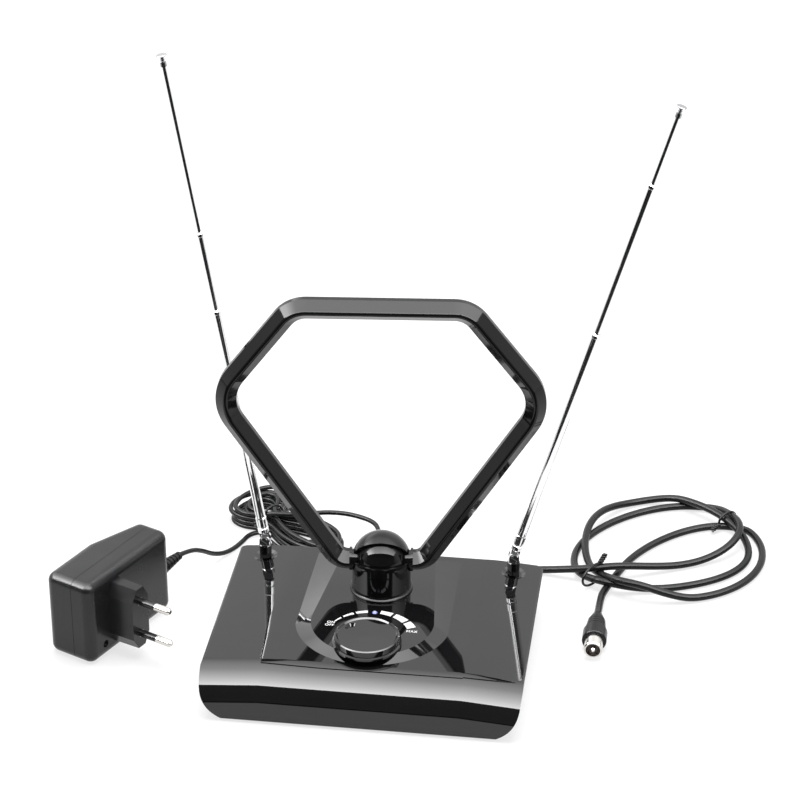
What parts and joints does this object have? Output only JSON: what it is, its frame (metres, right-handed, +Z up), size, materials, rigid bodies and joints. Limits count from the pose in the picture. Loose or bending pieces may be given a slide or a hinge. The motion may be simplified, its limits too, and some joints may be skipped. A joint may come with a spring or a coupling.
{
  "type": "indoor antenna",
  "caption": "Desk antenna with a tilting six-sided loop on a domed turret, telescopic rods, a gain dial, a plug-in mains adapter and a coiled aerial lead.",
  "frame": {"origin": "on the table under the middle of the base in plan", "axes": "+Z up, front of the base with the gain dial at -Y, adapter at -X and aerial lead at +X"},
  "size_m": [0.3604, 0.2415, 0.3028],
  "materials": {
    "gloss_black": "polished moulded plastic",
    "loop_black": "satin gloss moulded plastic",
    "satin_black": "fine grained moulded plastic",
    "rubber_black": "soft rubber",
    "cord_black": "smooth cord jacket",
    "rod_chrome": "bright plated tube",
    "spring_steel": "plain steel",
    "clip_plastic": "plain moulded plastic",
    "board_green": "lacquered board",
    "strip_metal": "rolled strip",
    "pot_metal": "turned shaft",
    "lamp_lens": "clear lens",
    "plug_nickel": "nickel plated",
    "core_iron": "laminated core with winding"
  },
  "bodies": {
    "base": {"top_housing": "gloss_black", "bottom_cover": "satin_black", "base_screws": "spring_steel", "rubber_feet": "rubber_black", "circuit_board": "board_green", "gain_pot": "clip_plastic", "power_lamp": "lamp_lens", "supply_jack": "clip_plastic", "coax_gland": "rubber_black", "supply_plug_body": "satin_black", "supply_plug_barrel": "plug_nickel", "power_cord_inner": "cord_black", "power_cord_outer": "cord_black", "power_cord_hank": "cord_black", "adapter_rear_shell": "satin_black", "adapter_front_shell": "satin_black", "adapter_pins": "plug_nickel", "adapter_pin_sleeves": "clip_plastic", "adapter_transformer": "core_iron", "adapter_relief": "rubber_black", "coax_lead_inner": "cord_black", "coax_coil": "cord_black", "coax_lead_outer": "cord_black", "aerial_plug_body": "satin_black", "aerial_plug_ring": "plug_nickel", "aerial_plug_insulator": "clip_plastic", "aerial_plug_pin": "plug_nickel"},
    "knob": {"gain_knob": "gloss_black", "pot_shaft": "pot_metal"},
    "turret": {"turret": "gloss_black", "turret_cap": "gloss_black", "turret_clip": "clip_plastic"},
    "loop": {"loop_ball": "gloss_black", "loop_front_shell": "loop_black", "loop_rear_shell": "loop_black", "loop_conductor": "strip_metal"},
    "left_swivel": {"left_boot": "satin_black", "left_fork": "rod_chrome", "left_hinge_pin": "rod_chrome", "left_clip": "spring_steel"},
    "left_rod": {"left_rod_foot": "rod_chrome", "left_rod_outer": "rod_chrome"},
    "left_middle": {"left_rod_middle": "rod_chrome"},
    "left_inner": {"left_rod_inner": "rod_chrome", "left_rod_tip": "rod_chrome"},
    "right_swivel": {"right_boot": "satin_black", "right_fork": "rod_chrome", "right_hinge_pin": "rod_chrome", "right_clip": "spring_steel"},
    "right_rod": {"right_rod_foot": "rod_chrome", "right_rod_outer": "rod_chrome"},
    "right_middle": {"right_rod_middle": "rod_chrome"},
    "right_inner": {"right_rod_inner": "rod_chrome", "right_rod_tip": "rod_chrome"}
  },
  "joints": [
    {"name": "gain_turn", "type": "hinge", "parent": "base", "child": "knob", "pos_m": [0, -0.028, 0.03], "axis": [0, 0, -1], "range_deg": [-20, 270]},
    {"name": "loop_swivel", "type": "hinge", "parent": "base", "child": "turret", "pos_m": [0, 0.0248, 0.03], "axis": [0, 0, 1], "range_deg": [-90, 90]},
    {"name": "loop_tilt", "type": "hinge", "parent": "turret", "child": "loop", "pos_m": [0, 0.0248, 0.0453], "axis": [0.9954, 0.0958, 0], "range_deg": [-12, 75]},
    {"name": "left_boot_swivel", "type": "hinge", "parent": "base", "child": "left_swivel", "pos_m": [-0.065, 0.0525, 0.03], "axis": [0, 0, 1], "range_deg": [-90, 90]},
    {"name": "left_rod_tilt", "type": "hinge", "parent": "left_swivel", "child": "left_rod", "pos_m": [-0.065, 0.0525, 0.03553], "axis": [0, -1, 0], "range_deg": [-9.4, 75.6]},
    {"name": "left_middle_slide", "type": "slide", "parent": "left_rod", "child": "left_middle", "axis": [-0.1633, 0, 0.9866], "range_m": [-0.0395, 0.06]},
    {"name": "left_inner_slide", "type": "slide", "parent": "left_middle", "child": "left_inner", "axis": [-0.1633, 0, 0.9866], "range_m": [-0.087, 0.015]},
    {"name": "right_boot_swivel", "type": "hinge", "parent": "base", "child": "right_swivel", "pos_m": [0.065, 0.0525, 0.03], "axis": [0, 0, 1], "range_deg": [-34.6, 80.4]},
    {"name": "right_rod_tilt", "type": "hinge", "parent": "right_swivel", "child": "right_rod", "pos_m": [0.065, 0.0525, 0.03553], "axis": [-0.1668, 0.986, 0], "range_deg": [-16.8, 68.2]},
    {"name": "right_middle_slide", "type": "slide", "parent": "right_rod", "child": "right_middle", "axis": [0.285, 0.0482, 0.9573], "range_m": [-0.0805, 0.019]},
    {"name": "right_inner_slide", "type": "slide", "parent": "right_middle", "child": "right_inner", "axis": [0.285, 0.0482, 0.9573], "range_m": [-0.0353, 0.0667]}
  ]
}
